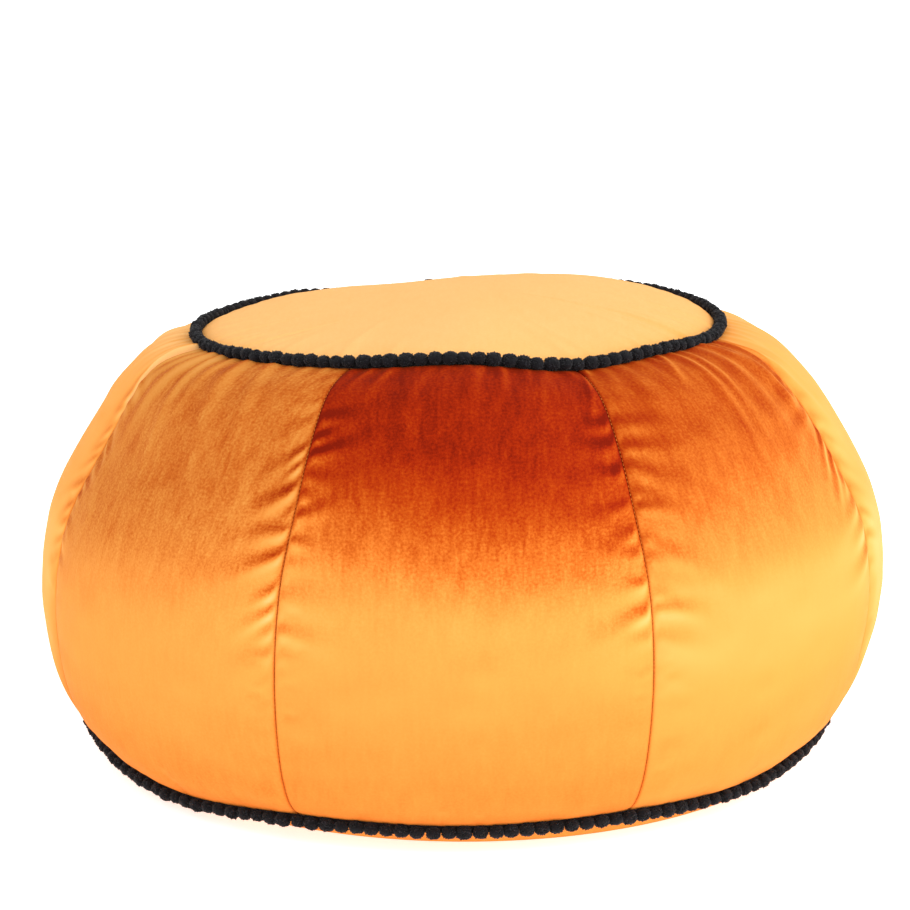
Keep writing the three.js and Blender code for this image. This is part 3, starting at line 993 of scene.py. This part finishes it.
def velvet():
    """Velvet whose pile has each panel's tone, with painted shade and light, its painted dimming and grain
    """
    nodes = Nodes("velvet")
    cloth = nodes.add("ShaderNodeAttribute", attribute_name="cloth").outputs["Vector"]
    tone, painted_dimming, grain = nodes.value_of("tone"), nodes.value_of("painted_dimming"), nodes.value_of("grain")
    layers = {}
    for name, layer in VELVET_GRAIN.items():
        drawn_out = {0: cloth, 1: (1.0, layer["comb"], 1.0)}
        combed = nodes.add("ShaderNodeVectorMath", drawn_out, operation="MULTIPLY").outputs[0]
        layers[name] = nodes.noise(combed, *layer["noise"])
        speck = nodes.math("MULTIPLY", nodes.math("MULTIPLY", layers[name], layer["weight"]), grain)
        tone = nodes.math("ADD", tone, speck)
    colour = nodes.ramp(nodes.math("DIVIDE", tone, TONE_SPAN), VELVET_STOPS)
    # painted shade: the painted dimming darkens the whole colour
    light_left = nodes.math("SUBTRACT", 1.0, painted_dimming)
    thrown = nodes.add("ShaderNodeVectorMath", {0: colour, "Scale": light_left}, operation="SCALE")
    nodes.shade({
        "Base Color": thrown.outputs[0],
        "Roughness": nodes.spread(layers["strokes"], width=0.25, middle=0.72),
        "Specular IOR Level": 0.04,
        "Sheen Weight": 0.16,
        "Sheen Roughness": 0.25,
        "Sheen Tint": linear("ffb25c"),
    })
    fibres = nodes.math("MULTIPLY", nodes.noise(cloth, *VELVET_FIBRES), RELIEF["fibres"])
    strokes = nodes.math("MULTIPLY", layers["strokes"], RELIEF["strokes"])
    nodes.bump(nodes.math("ADD", fibres, strokes), distance=0.0006, strength=0.5)
    return nodes.material


def yarn():
    """Matt black yarn, paler at the tips of its tufts"""
    nodes = Nodes("pompom yarn")
    fibres = nodes.noise(nodes.place(), *YARN_FIBRES)
    shade = nodes.math("ADD", nodes.value_of("shade"), nodes.math("MULTIPLY", fibres, YARN_MOTTLE))
    nodes.shade({
        "Base Color": nodes.ramp(shade, YARN_STOPS),
        "Roughness": nodes.spread(fibres, width=0.2, middle=0.9),
        "Specular IOR Level": 0.2,
        "Sheen Weight": 0.1,
        "Sheen Roughness": 0.5,
    })
    nodes.bump(fibres, distance=0.0005, strength=0.6)
    return nodes.material


def thread():
    """Twisted sewing thread, a little deeper than the velvet"""
    nodes = Nodes("seam thread")
    twist = nodes.noise(nodes.place(), *THREAD_TWIST)
    nodes.shade({
        "Base Color": nodes.ramp(nodes.math("ADD", twist, 0.5), THREAD_STOPS),
        "Roughness": nodes.spread(twist, width=0.2, middle=0.7),
        "Specular IOR Level": 0.05,
    })
    nodes.bump(twist, distance=0.0003, strength=0.5)
    return nodes.material


def floor_finish():
    """A white studio floor that still takes a soft shadow"""
    nodes = Nodes("pale floor")
    grain = nodes.noise(nodes.place(), *FLOOR_GRAIN)
    nodes.shade({
        "Base Color": nodes.ramp(nodes.math("ADD", grain, 0.5), FLOOR_STOPS),
        "Roughness": 0.9,
        "Specular IOR Level": 0.0,
        "Emission Color": WHITE,
        "Emission Strength": 0.65,
    })
    return nodes.material


# The pieces
velvet_finish = velvet()
yarn_finish = yarn()
for number in range(GORES):
    side_panel(number, velvet_finish)
top_panel(velvet_finish)
base_panel(velvet_finish)
pompom_trim("pompoms_top", "trim_top", TOP_RING, yarn_finish)
pompom_trim("pompoms_bottom", "trim_bottom", BASE_RING, yarn_finish)
seam_thread(thread())

# The floor, in metres
FLOOR_HALF = 40
FLOOR_DROP = 0.0004  # below the base, so that the two faces don't share a place
corners = [(x * FLOOR_HALF, y * FLOOR_HALF, 0) for x, y in ((-1, -1), (1, -1), (1, 1), (-1, 1))]
floor_mesh = bpy.data.meshes.new("floor")
floor_mesh.from_pydata(corners, [], [(0, 1, 2, 3)])
floor_mesh.materials.append(floor_finish())
floor = bpy.data.objects.new("floor", floor_mesh)
floor.location.z = -FLOOR_DROP
bpy.context.scene.collection.objects.link(floor)

# Soft studio light, with angles in degrees
WORLD_STRENGTH = 0.8
LIGHTS = {
    "key": {"azimuth": 70, "elevation": 30, "strength": 1.9, "spread": 60},
    "fill": {"azimuth": -60, "elevation": 25, "strength": 0.6, "spread": 80},
}
world = bpy.data.worlds.new("studio")
world.use_nodes = True
world.node_tree.nodes["Background"].inputs["Color"].default_value = WHITE
world.node_tree.nodes["Background"].inputs["Strength"].default_value = WORLD_STRENGTH
bpy.context.scene.world = world
for label, row in LIGHTS.items():
    light = bpy.data.lights.new(label, "SUN")
    light.energy = row["strength"]
    light.angle = math.radians(row["spread"])
    lamp = bpy.data.objects.new(label, light)
    lamp.rotation_euler = (math.radians(90 - row["elevation"]), 0, math.radians(row["azimuth"]))
    bpy.context.scene.collection.objects.link(lamp)

# The camera, at the photograph's viewing angle: metres, and a focal length in pixels of the photograph
CAMERA = {"distance": 1.74, "elevation": math.radians(14.69), "focal": 2412.5, "aim": 0.15}
SENSOR = 36  # width of the camera's sensor in millimetres
IMAGE = 910  # the photograph's width and height in pixels
CENTRE_X, CENTRE_Y = 465, 515.3  # the pixel where the aim lies
view = bpy.data.cameras.new("camera")
view.sensor_width = SENSOR
view.lens = CAMERA["focal"] * SENSOR / IMAGE
camera = bpy.data.objects.new("camera", view)
tilt = math.atan((CENTRE_Y - IMAGE / 2) / CAMERA["focal"])
camera.location = (
    0, -CAMERA["distance"] * math.cos(CAMERA["elevation"]),
    CAMERA["aim"] + CAMERA["distance"] * math.sin(CAMERA["elevation"]))
camera.rotation_euler = (
    math.pi / 2 - CAMERA["elevation"] + tilt, 0, math.atan((CENTRE_X - IMAGE / 2) / CAMERA["focal"]))
bpy.context.scene.collection.objects.link(camera)
bpy.context.scene.camera = camera
bpy.context.scene.view_settings.view_transform = "Standard"

bpy.context.view_layer.update()
